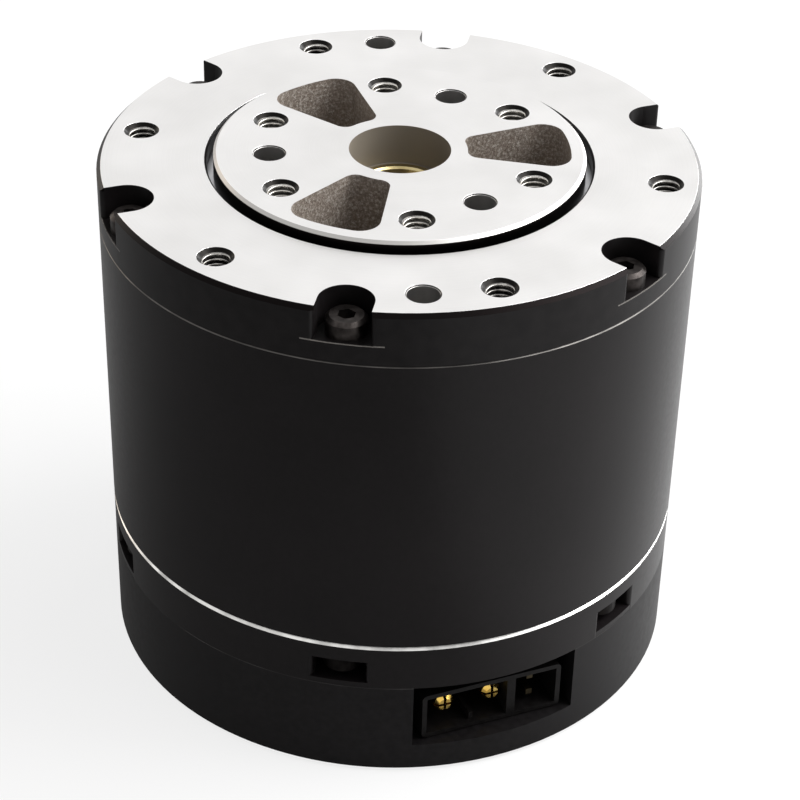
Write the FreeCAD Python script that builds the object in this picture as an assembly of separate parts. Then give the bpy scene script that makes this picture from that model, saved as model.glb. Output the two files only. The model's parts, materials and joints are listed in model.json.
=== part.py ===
import FreeCAD, Part
import math
import os

from FreeCAD import Vector

# Robot joint actuator: an outrunner motor, a two-stage planetary gearbox and a crossed-roller
# output bearing in one round housing, with a driver board and its connector in the rear cap.
# Millimetres. +Z runs from the rear cap to the output disc, and the origin is the centre of
# the rear face. Angles are degrees from +X, anticlockwise as seen from the output side.

# ---- housing ----
body_radius = 28.9
tube_wall = 3.9
cap_height = 10.5
cap_floor = 2.2
cap_wall = 2.8
cap_edge = 0.4
band_height = 5.15
band_bevel = 0.5
band_ring_width = 8.1
web_thickness = 2.0
tube_bevel = 0.2
rear_spigot_height = 0.6
rear_spigot_wall = 0.9
shoulder_thickness = 1.0
shoulder_depth = 3.0
flange_height = 5.25
flange_bevel = 0.4
lip_thickness = 1.55
lip_relief = 0.2
spigot_wall = 1.5
fit_gap = 0.02

# ---- six screw pockets at each end of the tube, with M2 socket head screws ----
pocket_angle = 20.9
pocket_count = 6
pocket_half_width = 2.55
pocket_inset = 2.0
pocket_mouth_round = 0.45
front_pocket_depth = 3.3
rear_pocket_depth = 3.1
screw_inset = 2.3
screw_radius = 1.0
screw_hole_gap = 0.1
thread_gap = 0.02
screw_head_radius = 1.9
screw_head_height = 1.7
screw_head_bevel = 0.35
screw_grip = 4.5
tip_gap = 0.5
hex_flats = 1.5
hex_depth = 0.9

# ---- threaded and dowel holes ----
m3_radius = 1.3
m3_depth = 4.5
m3_mouth = 0.42
dowel_radius = 1.5
dowel_depth = 5.0
dowel_mouth = 0.12
flange_hole_inset = 3.4
flange_hole_angle = -9.1
flange_dowel_inset = 3.55
flange_dowel_angle = 95.5
output_hole_inset = 4.12
output_hole_angle = 37.2
output_dowel_circle = 12.5
output_dowel_angle = 67.0

# ---- output disc and its crossed-roller bearing ----
disc_proud = 0.8
disc_shoulder = 0.35
disc_bevel = 0.3
rim_gap = 0.65
bore_radius = 4.9
bush_depth = 4.05
bush_step = 0.3
bush_wall = 0.7
bush_bevel = 0.2
bush_lead = 0.4
window_angle = 6.6
window_half_angle = 17.3
window_inner_radius = 6.5
window_rim = 1.45
window_depth = 7.5
window_outer_round = 2.0
window_inner_round = 1.2
bearing_section = 6.0
bearing_height = 7.0
race_gap = 0.8
roller_half_channel = 1.5
roller_gap = 0.05
roller_end_gap = 0.12
roller_count = 18
cage_thickness = 0.5
cage_height = 5.8
cage_pocket_gap = 0.2
snap_ring_height = 0.9
snap_ring_depth = 0.6
snap_ring_proud = 0.9
snap_ring_opening_angle = 24.0
snap_ring_land = 0.9

# ---- gearbox: two equal stages in one ring gear, 6:1 each ----
ring_gear_wall = 4.0
pressure_angle = 25.0
sun_teeth = 12
planet_teeth = 24
ring_teeth = sun_teeth + 2 * planet_teeth
dedendum = 1.25
flank_gap = 0.03
planet_count = 3
stage1_angle = 7.5
stage2_angle = 67.5
stage1_width = 3.0
stage2_width = 3.5
stage1_lift = 0.5
gear_end_gap = 0.15
planet_pin_radius = 1.25
running_gap = 0.03
pin_head_radius = 2.4
pin_head_height = 0.7
pin_seat = 4.0
carrier_margin = 3.0
carrier1_thickness = 1.85
carrier_gap = 0.3
plate_thickness = 0.8
plate_bore_gap = 0.8
pilot_length = 4.0

# ---- outrunner motor ----
stator_bore = 9.0
stator_standoff = 2.75
stator_height = 8.0
slot_count = 24
tooth_width = 1.9
yoke_wall = 3.5
tooth_tip = 1.2
slot_opening = 0.8
coil_thickness = 0.6
coil_overhang = 1.9
coil_gap = 0.05
air_gap = 0.4
magnet_count = 28
magnet_thickness = 1.4
magnet_height = 10.0
magnet_share = 0.82
bell_wall = 1.2
bell_gap = 0.5
bell_plate = 1.4
bell_clearance = 0.5
bell_hub_radius = 4.1
bell_vents = 6
bell_vent_inner = 8.0
bell_vent_rim = 3.0
bell_vent_angle = 20.0
shaft_radius = 3.0
rotor_bearing_radius = 6.5
rotor_bearing_height = 3.5
rotor_bearing_ring = 1.1
shield_gap = 0.3
boss_lip = 0.95
boss_land = 1.0
boss_clearance = 0.4
bearing_sink = 0.2
holder_wall = 1.0
holder_length = 2.7
magnet_disc_height = 1.5
magnet_disc_proud = 0.3

# ---- driver board ----
board_clearance = 0.4
board_thickness = 1.6
board_drop = 0.2
post_radius = 2.2
post_inset = 2.9
post_fan_angle = 110.0
board_screw_head = 1.4
lead_radius = 0.6
lead_inset = 4.4
lead_fan_angle = 28.0
lead_hole_gap = 0.3
chip_height = 0.9
sensor_size = 4.0
processor_size = 7.0
processor_offset = 9.5
switch_size = 3.3
switch_inset = 7.75
switch_angle_step = 20.0
capacitor_radius = 2.5
capacitor_height = 5.2
capacitor_inset = 7.4
capacitor_fan_angle = 50.0

# ---- rear cap screws, countersunk M2 ----
cap_screw_angle = 51.4
cap_screw_inset = 4.9
cap_post_radius = 2.8
cap_screw_bite = 3.7

# ---- connector: two power pins and two signal pins ----
connector_angle = -67.6
recess_half_width = 8.5
recess_bottom = 3.3
shell_sink = 1.7
shell_length = 14.0
shell_half_width = 7.35
shell_bottom = 3.45
shell_wall = 0.5
shell_round = 0.5
shell_cavity_depth = 8.0
signal_cavity_depth = 5.0
divider_side = 1.6
divider_width = 0.9
key_side = -2.0
key_width = 0.4
key_height = 0.9
pin_recess = 1.1
pin_pitch = 5.0
pin_side = -4.5
power_pin_radius = 1.0
power_pin_bevel = 0.35
power_pin_slot = 0.28
power_pin_slot_length = 4.5
signal_pin_half = 0.32
signal_pin_side = 4.5
signal_pin_pitch = 2.0
tail_inset = 2.0
tail_step = 1.5

# ---- heights, from the rear face up ----
band_bottom = cap_height
band_top = band_bottom + band_height
web_bottom = band_top - web_thickness
stator_bottom = band_top + stator_standoff
stator_top = stator_bottom + stator_height
coil_top = stator_top + coil_overhang
bell_plate_bottom = coil_top + bell_clearance
bell_top = bell_plate_bottom + bell_plate
bell_bottom = band_top + rear_spigot_height + bell_clearance
shoulder_bottom = bell_top + bell_clearance
gear_floor = shoulder_bottom + shoulder_thickness
stage1_bottom = gear_floor + stage1_lift
stage1_top = stage1_bottom + stage1_width
carrier1_bottom = stage1_top + gear_end_gap
carrier1_top = carrier1_bottom + carrier1_thickness
plate_bottom = carrier1_top + carrier_gap
plate_top = plate_bottom + plate_thickness
stage2_bottom = plate_top + gear_end_gap
stage2_top = stage2_bottom + stage2_width
output_bottom = stage2_top + gear_end_gap
snap_ring_bottom = output_bottom + snap_ring_land
bearing_bottom = snap_ring_bottom + snap_ring_height
bearing_middle = bearing_bottom + bearing_height / 2
bearing_top = bearing_bottom + bearing_height
flange_top = bearing_top + lip_thickness
tube_top = flange_top - flange_height
disc_top = flange_top + disc_proud
bush_top = disc_top - bush_depth
boss_top = bell_plate_bottom - boss_clearance
rear_bearing_bottom = web_bottom + boss_lip
rear_bearing_top = rear_bearing_bottom + rotor_bearing_height
front_bearing_top = boss_top - bearing_sink
front_bearing_bottom = front_bearing_top - rotor_bearing_height
holder_bottom = rear_bearing_bottom - holder_length
magnet_disc_bottom = holder_bottom - magnet_disc_proud
shaft_bottom = magnet_disc_bottom + magnet_disc_height
board_top = band_bottom - board_drop
board_bottom = board_top - board_thickness

# ---- radii, from the housing wall inwards ----
tube_bore = body_radius - tube_wall
cap_bore = body_radius - cap_wall
band_bore = body_radius - band_ring_width
shoulder_radius = tube_bore - shoulder_depth
pocket_centre = body_radius - pocket_inset
screw_circle = body_radius - screw_inset
bearing_outer = tube_bore - spigot_wall
bearing_inner = bearing_outer - bearing_section
roller_circle = (bearing_inner + bearing_outer) / 2
disc_radius = bearing_inner + disc_shoulder
lip_radius = disc_radius + rim_gap
bush_seat = bore_radius - bush_step
bush_bore = bush_seat - bush_wall
bell_outer = tube_bore - bell_gap
bell_inner = bell_outer - bell_wall
magnet_inner = bell_inner - magnet_thickness
stator_radius = magnet_inner - air_gap
board_radius = band_bore - board_clearance
post_circle = board_radius - post_inset
lead_circle = board_radius - lead_inset
switch_circle = board_radius - switch_inset
capacitor_circle = board_radius - capacitor_inset
cap_screw_circle = body_radius - cap_screw_inset
shell_face = body_radius - shell_sink
gear_module = 2 * (tube_bore - ring_gear_wall) / ring_teeth
planet_circle = gear_module * (sun_teeth + planet_teeth) / 2
carrier_radius = planet_circle + carrier_margin
sun_tip = gear_module * (sun_teeth / 2 + 1)
boss_lip_radius = rotor_bearing_radius - boss_land


# ---- helpers ----
def spot(radius, degrees, z=0.0):
    """The point at this radius and angle round the axis."""
    angle = math.radians(degrees)
    return Vector(radius * math.cos(angle), radius * math.sin(angle), z)


def disc(radius, bottom, top, centre=Vector()):
    return Part.makeCylinder(radius, top - bottom, centre + Vector(0, 0, bottom))


def turned(outline):
    """The solid made by turning an outline of (radius, z) points round the Z axis."""
    points = [Vector(radius, 0, z) for radius, z in outline]
    face = Part.Face(Part.makePolygon(points + points[:1]))
    return face.revolve(Vector(), Vector(0, 0, 1), 360)


def tube(outer, inner, bottom, top):
    return turned([(inner, bottom), (outer, bottom), (outer, top), (inner, top)])


def prism(points, bottom, top):
    """The prism over a closed outline of (x, y) points."""
    corners = [Vector(x, y, bottom) for x, y in points]
    face = Part.Face(Part.makePolygon(corners + corners[:1]))
    return face.extrude(Vector(0, 0, top - bottom))


def rotated(shape, degrees):
    copy = shape.copy()
    copy.rotate(Vector(), Vector(0, 0, 1), degrees)
    return copy


def placed(shape, radius, degrees):
    """A copy moved out along +X to the radius and turned to the angle."""
    copy = shape.copy()
    copy.translate(Vector(radius, 0, 0))
    return rotated(copy, degrees)


def angles(first, count):
    return [first + 360 * k / count for k in range(count)]


def block(near, far, right, left, bottom, top, degrees):
    """A box at an angle: near to far along the radius, right to left across it."""
    corner = Vector(near, right, bottom)
    return rotated(Part.makeBox(far - near, left - right, top - bottom, corner), degrees)


def upright_edges(shape, test):
    """The edges parallel to the axis whose middle point passes the test."""
    found = []
    for edge in shape.Edges:
        if len(edge.Vertexes) == 2:
            a, b = (vertex.Point for vertex in edge.Vertexes)
            if math.hypot(a.x - b.x, a.y - b.y) < 1e-6 and test((a + b) / 2):
                found.append(edge)
    return found


def save(name, *solids):
    shape = solids[0] if len(solids) == 1 else Part.makeCompound(list(solids))
    shape.exportStep(f"parts/{name}.step")


# ---- fasteners and holes ----
def hexagon(flats, bottom, top):
    corner = flats / 2 / math.cos(math.radians(30))
    points = [(corner * math.cos(math.radians(a)), corner * math.sin(math.radians(a)))
              for a in angles(0, 6)]
    return prism(points, bottom, top)


def hole_from_above(radius, mouth, depth, surface):
    """The cutter for a blind hole with a bevelled mouth, sunk from a surface."""
    return turned([(0, surface - depth), (radius, surface - depth), (radius, surface - mouth),
                   (radius + mouth, surface), (0, surface)])


def screw_pocket(bottom, top):
    """The cutter for a screw pocket: round towards the axis, open at the housing's side."""
    end = disc(pocket_half_width, bottom, top, Vector(pocket_centre, 0, 0))
    mouth = Part.makeBox(body_radius - pocket_centre + 1, 2 * pocket_half_width, top - bottom,
                         Vector(pocket_centre, -pocket_half_width, bottom))
    return end.fuse(mouth).removeSplitter()


def with_pockets(body, bottom, top):
    """A body with the ring of screw pockets cut in its side and their mouths rounded."""
    cutter = screw_pocket(bottom, top)
    body = body.cut([rotated(cutter, a) for a in angles(pocket_angle, pocket_count)])

    def at_mouth(point):
        return (bottom < point.z < top
                and abs(math.hypot(point.x, point.y) - body_radius) < 0.01)

    return body.makeFillet(pocket_mouth_round, upright_edges(body, at_mouth))


# ---- housing ----
def front_flange():
    bevel = flange_bevel
    spigot = tube_bore - fit_gap
    seat = bearing_outer
    race_lip = roller_circle + race_gap
    body = turned([
        (lip_radius, bearing_top + lip_relief), (lip_radius, flange_top - bevel / 2),
        (lip_radius + bevel / 2, flange_top), (body_radius - bevel, flange_top),
        (body_radius, flange_top - bevel), (body_radius, tube_top), (spigot, tube_top),
        (spigot, bearing_bottom), (seat, bearing_bottom), (seat, bearing_top),
        (race_lip, bearing_top), (race_lip, bearing_top + lip_relief)])
    floor = flange_top - front_pocket_depth
    body = with_pockets(body, floor, flange_top)
    bolt = disc(screw_radius + screw_hole_gap, tube_top, floor)
    thread = hole_from_above(m3_radius, m3_mouth, m3_depth, flange_top)
    dowel = hole_from_above(dowel_radius, dowel_mouth, m3_depth, flange_top)
    threads = body_radius - flange_hole_inset
    dowels = body_radius - flange_dowel_inset
    holes = [placed(bolt, screw_circle, a) for a in angles(pocket_angle, pocket_count)]
    holes += [placed(thread, threads, a) for a in angles(flange_hole_angle, pocket_count)]
    holes += [placed(dowel, dowels, a) for a in angles(flange_dowel_angle, 2)]
    return body.cut(holes)


def main_housing():
    body = turned([
        (tube_bore, band_top), (body_radius, band_top), (body_radius, tube_top - tube_bevel),
        (body_radius - tube_bevel, tube_top), (tube_bore, tube_top), (tube_bore, gear_floor),
        (shoulder_radius, gear_floor), (shoulder_radius, shoulder_bottom),
        (tube_bore, shoulder_bottom)])
    radius = screw_radius + thread_gap
    front = disc(radius, tube_top - screw_grip, tube_top)
    rear = disc(radius, band_top, band_top + screw_grip)
    screws = angles(pocket_angle, pocket_count)
    return body.cut([placed(hole, screw_circle, a) for hole in (front, rear) for a in screws])


def rear_housing():
    spigot = tube_bore - fit_gap
    body = turned([
        (boss_lip_radius, web_bottom), (band_bore, web_bottom), (band_bore, band_bottom),
        (body_radius, band_bottom), (body_radius, band_top - band_bevel),
        (body_radius - band_bevel, band_top), (spigot, band_top),
        (spigot, band_top + rear_spigot_height),
        (spigot - rear_spigot_wall, band_top + rear_spigot_height),
        (spigot - rear_spigot_wall, band_top), (stator_bore, band_top),
        (stator_bore, boss_top), (rotor_bearing_radius, boss_top),
        (rotor_bearing_radius, front_bearing_bottom), (boss_lip_radius, front_bearing_bottom),
        (boss_lip_radius, rear_bearing_top), (rotor_bearing_radius, rear_bearing_top),
        (rotor_bearing_radius, rear_bearing_bottom), (boss_lip_radius, rear_bearing_bottom)])
    floor = band_bottom + rear_pocket_depth
    body = with_pockets(body, band_bottom, floor)
    post = disc(post_radius, board_top, web_bottom)
    body = body.fuse([placed(post, post_circle, a) for a in post_angles()]).removeSplitter()
    bolt = disc(screw_radius + screw_hole_gap, floor, band_top)
    thread = disc(screw_radius + thread_gap, board_top, board_top + cap_screw_bite)
    cap_thread = disc(screw_radius + thread_gap, band_bottom, band_bottom + cap_screw_bite)
    lead = disc(lead_radius + lead_hole_gap, web_bottom, band_top)
    holes = [placed(bolt, screw_circle, a) for a in angles(pocket_angle, pocket_count)]
    holes += [placed(thread, post_circle, a) for a in post_angles()]
    holes += [placed(cap_thread, cap_screw_circle, a) for a in cap_screw_angles()]
    holes += [placed(lead, lead_circle, a) for a in lead_angles()]
    return body.cut(holes)


def post_angles():
    """The three board posts, the middle one opposite the connector."""
    return [connector_angle + 180 + side * post_fan_angle for side in (-1, 0, 1)]


def cap_screw_angles():
    """Four of the six places between the pockets: not at the connector or opposite it."""
    places = angles(cap_screw_angle, pocket_count)
    return [places[k] for k in (0, 2, 3, 5)]


def lead_angles():
    """The three motor leads, a fan between two of the board posts."""
    middle = connector_angle + 180 + post_fan_angle / 2
    return [middle + side * lead_fan_angle / 2 for side in (-1, 0, 1)]


def rear_cap():
    body = turned([
        (0, 0), (body_radius - cap_edge, 0), (body_radius, cap_edge),
        (body_radius, band_bottom), (cap_bore, band_bottom), (cap_bore, cap_floor),
        (0, cap_floor)])
    post = disc(cap_post_radius, cap_floor, band_bottom)
    posts = [placed(post, cap_screw_circle, a) for a in cap_screw_angles()]
    body = body.fuse(posts).removeSplitter()
    recess = block(band_bore, body_radius + 1, -recess_half_width, recess_half_width,
                   recess_bottom, band_bottom, connector_angle)
    hole = turned(cap_screw_outline(band_bottom, screw_radius + screw_hole_gap, thread_gap))
    holes = [placed(hole, cap_screw_circle, a) for a in cap_screw_angles()]
    return body.cut([recess] + holes)


def cap_screw_outline(top, radius, gap=0.0):
    """The outline of a countersunk screw flush with the rear face, or of the hole for it."""
    rim = screw_head_radius + gap
    return [(0, 0), (rim, 0), (radius, rim - radius), (radius, top), (0, top)]


def cap_screws():
    screw = turned(cap_screw_outline(band_bottom + cap_screw_bite - tip_gap, screw_radius))
    screw = screw.cut(hexagon(hex_flats, 0, hex_depth))
    return [placed(screw, cap_screw_circle, a) for a in cap_screw_angles()]


def front_screws():
    """Socket head screws that stand in the front pockets, in threads in the tube's wall."""
    floor = flange_top - front_pocket_depth
    top = floor + screw_head_height
    tip = tube_top - screw_grip + tip_gap
    screw = turned([(0, tip), (screw_radius, tip), (screw_radius, floor),
                    (screw_head_radius, floor), (screw_head_radius, top - screw_head_bevel),
                    (screw_head_radius - screw_head_bevel, top), (0, top)])
    screw = screw.cut(hexagon(hex_flats, top - hex_depth, top))
    return [placed(screw, screw_circle, a) for a in angles(pocket_angle, pocket_count)]


def rear_screws():
    """Screws whose heads face the rear cap, with plain heads because only their sides show."""
    floor = band_bottom + rear_pocket_depth
    screw = turned([(0, floor - screw_head_height), (screw_head_radius, floor - screw_head_height),
                    (screw_head_radius, floor), (screw_radius, floor),
                    (screw_radius, band_top + screw_grip - tip_gap),
                    (0, band_top + screw_grip - tip_gap)])
    return [placed(screw, screw_circle, a) for a in angles(pocket_angle, pocket_count)]


# ---- output disc ----
def window_cutter():
    """A window between two spokes: an arc at each end, near-radial sides, rounded corners."""
    bottom, outer = disc_top - window_depth, disc_radius - window_rim
    inner = window_inner_radius
    start, end = -window_half_angle, window_half_angle
    far = Part.Arc(spot(outer, start, bottom), spot(outer, 0, bottom), spot(outer, end, bottom))
    near = Part.Arc(spot(inner, end, bottom), spot(inner, 0, bottom), spot(inner, start, bottom))
    sides = [Part.LineSegment(spot(outer, end, bottom), spot(inner, end, bottom)),
             Part.LineSegment(spot(inner, start, bottom), spot(outer, start, bottom))]
    edges = [far.toShape(), sides[0].toShape(), near.toShape(), sides[1].toShape()]
    cutter = Part.Face(Part.Wire(edges)).extrude(Vector(0, 0, window_depth))
    middle = (inner + outer) / 2
    outer_edges = upright_edges(cutter, lambda p: math.hypot(p.x, p.y) > middle)
    cutter = cutter.makeFillet(window_outer_round, outer_edges)
    inner_edges = upright_edges(cutter, lambda p: math.hypot(p.x, p.y) < inner + 0.01)
    return cutter.makeFillet(window_inner_round, inner_edges)


def output_flange():
    groove = bearing_inner - snap_ring_depth
    body = turned([
        (bush_seat, output_bottom), (bearing_inner, output_bottom),
        (bearing_inner, snap_ring_bottom), (groove, snap_ring_bottom),
        (groove, bearing_bottom), (bearing_inner, bearing_bottom),
        (bearing_inner, bearing_top), (disc_radius, bearing_top),
        (disc_radius, disc_top - disc_bevel), (disc_radius - disc_bevel, disc_top),
        (bore_radius, disc_top), (bore_radius, bush_top), (bush_seat, bush_top)])
    thread = hole_from_above(m3_radius, m3_mouth, m3_depth, disc_top)
    dowel = hole_from_above(dowel_radius, dowel_mouth, dowel_depth, disc_top)
    pin = disc(planet_pin_radius, output_bottom, output_bottom + pin_seat)
    threads = disc_radius - output_hole_inset
    cuts = [rotated(window_cutter(), a) for a in angles(window_angle, planet_count)]
    cuts += [placed(thread, threads, a) for a in angles(output_hole_angle, 6)]
    cuts += [placed(dowel, output_dowel_circle, a) for a in angles(output_dowel_angle, 3)]
    cuts += [placed(pin, planet_circle, a) for a in angles(stage2_angle, planet_count)]
    return body.cut(cuts)


def centre_bush():
    """The brass bush that carries the first carrier's pilot, bevelled at its upper end."""
    bottom = output_bottom + bush_lead
    return turned([(bush_bore, bottom), (bush_seat, bottom), (bush_seat, bush_top),
                   (bush_bore + bush_bevel, bush_top), (bush_bore, bush_top - bush_bevel)])


def output_retaining_ring():
    inner = bearing_inner - snap_ring_depth
    ring = tube(inner + snap_ring_depth + snap_ring_proud, inner, snap_ring_bottom,
                bearing_bottom)
    half = snap_ring_opening_angle / 2
    reach = 2 * bearing_outer
    wedge = prism([(0, 0), tuple(spot(reach, -half))[:2], tuple(spot(reach, half))[:2]],
                  snap_ring_bottom, bearing_bottom)
    return ring.cut(wedge)


# ---- crossed-roller bearing ----
def race(rim, side):
    """A bearing race with its V groove. side is -1 for the inner race and 1 for the outer."""
    face = roller_circle + side * race_gap / 2
    half_diagonal = roller_half_channel * math.sqrt(2)
    apex = roller_circle + side * half_diagonal
    mouth = half_diagonal - race_gap / 2
    return turned([(rim, bearing_bottom), (face, bearing_bottom), (face, bearing_middle - mouth),
                   (apex, bearing_middle), (face, bearing_middle + mouth),
                   (face, bearing_top), (rim, bearing_top)])


def bearing_rollers():
    """Rollers that lean 45 degrees in and out by turns, as a crossed-roller bearing's do."""
    radius = roller_half_channel - roller_gap
    half = roller_half_channel - roller_end_gap
    rollers = []
    for k, angle in enumerate(angles(0, roller_count)):
        roller = Part.makeCylinder(radius, 2 * half, Vector(0, 0, -half))
        roller.rotate(Vector(), Vector(0, 1, 0), 45 if k % 2 else -45)
        roller.translate(Vector(0, 0, bearing_middle))
        rollers.append(placed(roller, roller_circle, angle))
    return rollers


def bearing_cage():
    half_height = cage_height / 2
    ring = tube(roller_circle + cage_thickness / 2, roller_circle - cage_thickness / 2,
                bearing_middle - half_height, bearing_middle + half_height)
    side = roller_half_channel + cage_pocket_gap
    reach = roller_half_channel * math.sqrt(2) + cage_pocket_gap
    near, far = roller_circle - cage_thickness, roller_circle + cage_thickness
    pockets = [block(near, far, -side, side, bearing_middle - reach, bearing_middle + reach, a)
               for a in angles(0, roller_count)]
    return ring.cut(pockets)


# ---- gears ----
def involute(angle):
    return math.tan(angle) - angle


def tooth_half_angle(teeth, radius, thinning):
    """Half of the angle that a tooth spans at a radius, in radians."""
    pitch_radius = gear_module * teeth / 2
    pressure = math.radians(pressure_angle)
    base = pitch_radius * math.cos(pressure)
    local = math.acos(min(1.0, base / radius))
    return (math.pi / 2 / teeth + involute(pressure) - involute(local)
            - thinning / pitch_radius)


def toothed_outline(teeth, root, tip, first, thinning):
    """The closed outline of involute teeth. first is the angle of one tooth's middle line."""
    pitch_radius = gear_module * teeth / 2
    base = pitch_radius * math.cos(math.radians(pressure_angle))
    start = max(root, base)
    levels = [(root, start), (pitch_radius, pitch_radius), (tip, tip)]
    if base - root > gear_module / 4:
        levels.insert(1, (base, base))
    flank = [(r, tooth_half_angle(teeth, at, thinning)) for r, at in levels]
    points = []
    for middle in angles(first, teeth):
        for radius, half in [(r, -h) for r, h in flank] + flank[::-1]:
            point = spot(radius, middle + math.degrees(half))
            points.append((point.x, point.y))
    return points


def outer_gear(teeth, first, bottom, top):
    root = gear_module * (teeth / 2 - dedendum)
    tip = gear_module * (teeth / 2 + 1)
    return prism(toothed_outline(teeth, root, tip, first, flank_gap), bottom, top)


def ring_gear():
    """The fixed ring gear. Each space between its teeth has the outline of a widened tooth."""
    tip = gear_module * (ring_teeth / 2 - 1)
    root = gear_module * (ring_teeth / 2 + dedendum)
    spaces = toothed_outline(ring_teeth, tip, root, 0.0, -flank_gap)
    blank = disc(tube_bore - fit_gap, gear_floor, bearing_bottom)
    return blank.cut(prism(spaces, gear_floor, bearing_bottom))


def planet_phase(angle):
    """The angle of a planet tooth's middle line that meshes with the ring gear."""
    turns = ring_teeth * angle / 360
    return angle - (turns - math.floor(turns)) * 360 / planet_teeth


def sun_phase(angle):
    """The angle of a sun tooth's middle line that meshes with the planet at an angle."""
    planet = planet_teeth * (angle + 180 - planet_phase(angle))
    return angle - (180 - planet) / sun_teeth


def planet(angle, bottom, top):
    """A planet gear with its bore, in its place in the ring gear."""
    gear = outer_gear(planet_teeth, planet_phase(angle), bottom, top)
    gear = gear.cut(disc(planet_pin_radius + running_gap, bottom, top))
    gear.translate(spot(planet_circle, angle))
    return gear


def stage1_carrier():
    """The first stage's carrier plate with the second stage's sun and its pilot."""
    plate = disc(carrier_radius, carrier1_bottom, carrier1_top)
    pin = disc(planet_pin_radius, carrier1_bottom, carrier1_top)
    plate = plate.cut([placed(pin, planet_circle, a) for a in angles(stage1_angle, planet_count)])
    sun = outer_gear(sun_teeth, sun_phase(stage2_angle), carrier1_top, stage2_top)
    pilot = disc(bush_bore - running_gap, stage2_top, output_bottom + pilot_length)
    return plate.fuse([sun, pilot]).removeSplitter()


def stage1_pins():
    head_top = stage1_bottom - gear_end_gap
    pin = turned([(0, head_top - pin_head_height), (pin_head_radius, head_top - pin_head_height),
                  (pin_head_radius, head_top), (planet_pin_radius, head_top),
                  (planet_pin_radius, carrier1_top), (0, carrier1_top)])
    return [placed(pin, planet_circle, a) for a in angles(stage1_angle, planet_count)]


def stage2_pins():
    pin = disc(planet_pin_radius, plate_bottom, output_bottom + pin_seat)
    return [placed(pin, planet_circle, a) for a in angles(stage2_angle, planet_count)]


def stage2_plate():
    """The plate that ties the lower ends of the second stage's pins together."""
    plate = tube(carrier_radius, sun_tip + plate_bore_gap, plate_bottom, plate_top)
    pin = disc(planet_pin_radius, plate_bottom, plate_top)
    return plate.cut([placed(pin, planet_circle, a) for a in angles(stage2_angle, planet_count)])


# ---- motor ----
def rotor_shaft():
    """The motor shaft with the first stage's sun cut on its end."""
    sun_bottom = stage1_bottom - gear_end_gap
    shaft = disc(shaft_radius, shaft_bottom, sun_bottom)
    return shaft.fuse(outer_gear(sun_teeth, sun_phase(stage1_angle), sun_bottom, stage1_top))


def rotor_bell():
    body = turned([
        (shaft_radius, front_bearing_top), (bell_hub_radius, front_bearing_top),
        (bell_hub_radius, bell_plate_bottom), (bell_inner, bell_plate_bottom),
        (bell_inner, bell_bottom), (bell_outer, bell_bottom), (bell_outer, bell_top),
        (shaft_radius, bell_top)])
    outer = bell_inner - bell_vent_rim
    vent = tube(outer, bell_vent_inner, bell_plate_bottom, bell_top)
    reach = 2 * outer
    wedge = prism([(0, 0), tuple(spot(reach, -bell_vent_angle))[:2],
                   tuple(spot(reach, bell_vent_angle))[:2]], bell_plate_bottom, bell_top)
    vent = vent.common(wedge)
    return body.cut([rotated(vent, a) for a in angles(0, bell_vents)])


def rotor_magnets():
    """Arc magnets side by side round the inside of the bell."""
    half = 180 / magnet_count * magnet_share
    middle = (stator_bottom + stator_top) / 2
    bottom, top = middle - magnet_height / 2, middle + magnet_height / 2
    ring = tube(bell_inner, magnet_inner, bottom, top)
    reach = 2 * bell_inner
    wedge = prism([(0, 0), tuple(spot(reach, -half))[:2], tuple(spot(reach, half))[:2]],
                  bottom, top)
    magnet = ring.common(wedge)
    return [rotated(magnet, a) for a in angles(0, magnet_count)]


def stator_core():
    """Laminated teeth on a yoke, each with a wider tip at the air gap."""
    pitch = math.pi / slot_count
    half_slit = slot_opening / 2
    shoulder = stator_radius - tooth_tip
    root = stator_bore + yoke_wall
    slot_inner = root * math.tan(pitch) - tooth_width / 2 / math.cos(pitch)
    slot_outer = shoulder * math.tan(pitch) - tooth_width / 2 / math.cos(pitch)
    slot = prism([(root, -slot_inner), (shoulder, -slot_outer), (shoulder, -half_slit),
                  (stator_radius + 1, -half_slit), (stator_radius + 1, half_slit),
                  (shoulder, half_slit), (shoulder, slot_outer), (root, slot_inner)],
                 stator_bottom, stator_top)
    core = tube(stator_radius, stator_bore, stator_bottom, stator_top)
    return core.cut([rotated(slot, a) for a in angles(180 / slot_count, slot_count)])


def stator_coils():
    """One coil round each stator tooth."""
    near = stator_bore + yoke_wall + coil_thickness
    far = stator_radius - tooth_tip - coil_gap
    inside = tooth_width / 2 + coil_gap
    side = inside + coil_thickness
    coil = block(near, far, -side, side, stator_bottom - coil_overhang,
                 stator_top + coil_overhang, 0)
    coil = coil.cut(block(near, far, -inside, inside, stator_bottom - coil_gap,
                          stator_top + coil_gap, 0))
    return [rotated(coil, a) for a in angles(0, slot_count)]


def rotor_bearing_outer_rings():
    """The outer rings of the two sealed rotor bearings, filled in as far as their shields."""
    inner = shaft_radius + rotor_bearing_ring + shield_gap
    return [tube(rotor_bearing_radius, inner, bottom, bottom + rotor_bearing_height)
            for bottom in (rear_bearing_bottom, front_bearing_bottom)]


def rotor_bearing_inner_rings():
    outer = shaft_radius + rotor_bearing_ring
    return [tube(outer, shaft_radius, bottom, bottom + rotor_bearing_height)
            for bottom in (rear_bearing_bottom, front_bearing_bottom)]


def encoder_magnet_holder():
    return tube(shaft_radius + holder_wall, shaft_radius, holder_bottom, rear_bearing_bottom)


def encoder_magnet():
    return disc(shaft_radius, magnet_disc_bottom, shaft_bottom)


def motor_leads():
    lead = disc(lead_radius, board_top, stator_bottom - coil_overhang)
    return [placed(lead, lead_circle, a) for a in lead_angles()]


# ---- driver board and connector ----
def driver_board():
    board = disc(board_radius, board_bottom, board_top)
    screw = disc(screw_radius + screw_hole_gap, board_bottom, board_top)
    cuts = [placed(screw, post_circle, a) for a in post_angles()]
    return board.cut(cuts + power_pins() + signal_pins())


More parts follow.
